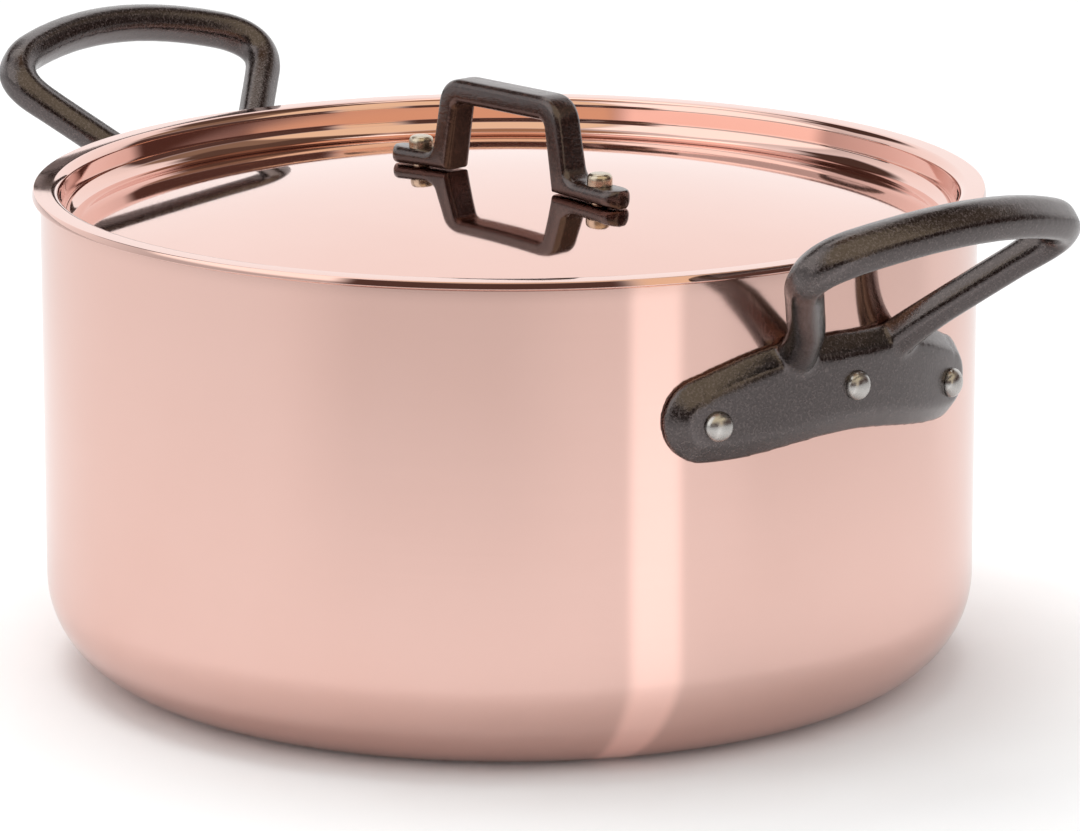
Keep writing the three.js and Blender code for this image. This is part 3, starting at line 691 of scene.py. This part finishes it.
def floor_paper():
    """White paper with painted shade: its level falls with distance, more so in two sectors on the
    viewer's side, and mirrored rays find the wedge that starts at STREAK_FROM lighter, a painted reflection."""
    paper = bpy.data.materials.new("white_paper")
    paper.use_nodes = True
    tree = paper.node_tree
    tree.nodes.clear()
    spot = add(tree, "TexCoord").outputs["Object"]
    fibre = add(tree, "TexNoise", {"Vector": spot, "Scale": 60.0, "Detail": 3.0}).outputs["Fac"]
    turn = angle_round(tree, spot)
    # Painted shade: the paper's level drops with distance, and more in two sectors on the viewer's side.
    near = add(tree, "Math", {0: between(tree, turn, -42, 8, 12), 1: between(tree, turn, 50, 112, 6)},
               operation="ADD").outputs[0]
    reach = add(tree, "VectorMath", {0: spot}, operation="LENGTH").outputs["Value"]
    out = spread(tree, reach, 0.0, 0.09, 0.2, 0.55)
    shade = add(tree, "Math", {0: near, 1: 1.0}, operation="ADD").outputs[0]
    shade = add(tree, "Math", {0: shade, 1: out}, operation="MULTIPLY").outputs[0]
    ray = add(tree, "LightPath").outputs
    # Painted reflection: a wedge of paper lighter for mirrored rays alone, seen as the bright streak in the
    # copper.
    from_here = add(tree, "VectorMath", {0: spot, 1: STREAK_FROM}, operation="SUBTRACT").outputs[0]
    streak = between(tree, angle_round(tree, from_here), *STREAK_EDGES, 2.0)
    streak = add(tree, "Math", {0: streak, 1: ray["Is Glossy Ray"]}, operation="MULTIPLY").outputs[0]
    painted_streak = add(tree, "Math", {0: streak, 1: STREAK_LIFT}, operation="MULTIPLY").outputs[0]
    white = spread(tree, ray["Is Camera Ray"], 0.86, 1.0, 0.0, 1.0)
    level = add(tree, "Math", {0: white, 1: painted_streak}, operation="ADD").outputs[0]
    level = add(tree, "Math", {0: level, 1: shade}, operation="SUBTRACT").outputs[0]
    tint = add(tree, "CombineColor", {0: level, 1: level, 2: level})
    matt = add(tree, "BsdfDiffuse", {"Color": tint.outputs[0]})
    tree.links.new(spread(tree, fibre, 0.4, 0.6), matt.inputs["Roughness"])
    add(tree, "OutputMaterial", {"Surface": matt.outputs[0]})
    return paper


floor_mesh.materials.append(floor_paper())
print("floor reaches", FAR, "m, viewer's side at", round(math.degrees(camera_turn), 1), "degrees")

# %% [markdown]
# Polished metal looks like what it mirrors, so the room is part of the finish. Boards could be built
# round the pot, but the world can hold them as soft-edged cards at given directions, which keeps the
# scene small: a white sweep behind, warm and dark sides, and a soft box at the upper left. Only
# mirrored rays see the cards. All other rays see a plain even white, so the colours stay as written.

# %% Room and lamp
# Each card: left and right limit in degrees from the viewer, lowest and highest elevation, colour.
ROOM_CARDS = (
    (-30, 78, 24, 72, (0.98, 0.84, 0.60)),
    (76, 124, 24, 72, (0.28, 0.21, 0.15)),
    (-94, -32, 9, 64, (1.40, 1.40, 1.36)),
    (-40, 28, -9, 23, (0.10, 0.06, 0.05)),
    (48, 120, -9, 23, (0.10, 0.06, 0.05)),
    (-165, -112, 30, 49, (0.08, 0.05, 0.04)),
    (-190, -126, 57, 78, (1.60, 1.58, 1.48)),
    (126, 190, 60, 78, (1.60, 1.58, 1.48)),
    (84, 130, 54, 73, (0.12, 0.08, 0.06)),
    (104, 165, 42, 66, (0.12, 0.08, 0.06)),
    (30, 46, -9, 24, (0.95, 0.78, 0.55)),
    (-999, 999, 74, 99, (0.40, 0.26, 0.16)),
)
world = bpy.data.worlds.new("studio_room")
bpy.context.scene.world = world
world.use_nodes = True
room = world.node_tree
room.nodes.clear()
way = add(room, "TexCoord").outputs["Generated"]
away = (-math.cos(camera_turn), -math.sin(camera_turn), 0.3)
behind = add(room, "VectorMath", {0: way, 1: away}, operation="DOT_PRODUCT").outputs["Value"]
sweep = spread(room, behind, 0.6, 1.1, 0.0, 0.8)
seen = add(room, "CombineColor", {0: sweep, 1: sweep, 2: sweep}).outputs[0]
turn_of = angle_round(room, way)
upward = add(room, "SeparateXYZ", {0: way}).outputs["Z"]
rise_of = add(room, "Math", {0: upward}, operation="ARCSINE").outputs[0]
rise_of = add(room, "Math", {0: rise_of}, operation="DEGREES").outputs[0]
for left, right, low, high, colour in ROOM_CARDS:
    aside, above = between(room, turn_of, left, right, 4), between(room, rise_of, low, high, 3)
    card = add(room, "Math", {0: aside, 1: above}, operation="MULTIPLY").outputs[0]
    seen = add(room, "Mix", {0: card, 6: seen, 7: (*colour, 1)}, data_type="RGBA").outputs[2]
ray = add(room, "LightPath")
plain = spread(room, ray.outputs["Is Camera Ray"], 0.8, 1.0, 0.0, 1.0)
plain = add(room, "CombineColor", {0: plain, 1: plain, 2: plain}).outputs[0]
seen = add(room, "Mix", {0: ray.outputs["Is Glossy Ray"], 6: plain, 7: seen}, data_type="RGBA").outputs[2]
air = add(room, "Background", {"Color": seen, "Strength": 1.0})
add(room, "OutputWorld", {"Surface": air.outputs[0]})
print("room cards:", len(ROOM_CARDS))


def soft_box(name, at, to, size, power):
    """A flat rectangular lamp that faces a point and isn't mirrored itself: a card stands in for it."""
    lamp = bpy.data.lights.new(name, "AREA")
    lamp.shape, lamp.size, lamp.size_y, lamp.energy = "RECTANGLE", size[0], size[1], power
    holder = bpy.data.objects.new(name, lamp)
    holder.location = at
    holder.visible_glossy = False
    aim = Vector(to) - Vector(at)
    holder.rotation_euler = aim.to_track_quat("-Z", "Y").to_euler()
    bpy.context.collection.objects.link(holder)


soft_box("overhead_box", (-0.356, 0.055, 1.3), (0, 0, 0), (1.1, 1.1), 12)

# %% [markdown]
# The camera stands where the photograph was taken from, found by fitting the pot's rim and base
# curves. A long lens from that distance gives the same perspective as the picture.

# %% Camera
camera_data = bpy.data.cameras.new("camera")
camera_data.sensor_width, camera_data.sensor_fit, camera_data.lens = 36.0, "HORIZONTAL", 207.915
camera = bpy.data.objects.new("camera", camera_data)
camera.location = CAMERA_AT
camera.rotation_euler = (Vector(LOOKS_AT) - Vector(CAMERA_AT)).to_track_quat("-Z", "Y").to_euler()
bpy.context.collection.objects.link(camera)
scene = bpy.context.scene
scene.camera = camera
scene.view_settings.view_transform = "Standard"
print("camera is", round((Vector(CAMERA_AT) - Vector(LOOKS_AT)).length, 3), "m from its aim")

# %% Finish
bpy.context.view_layer.update()
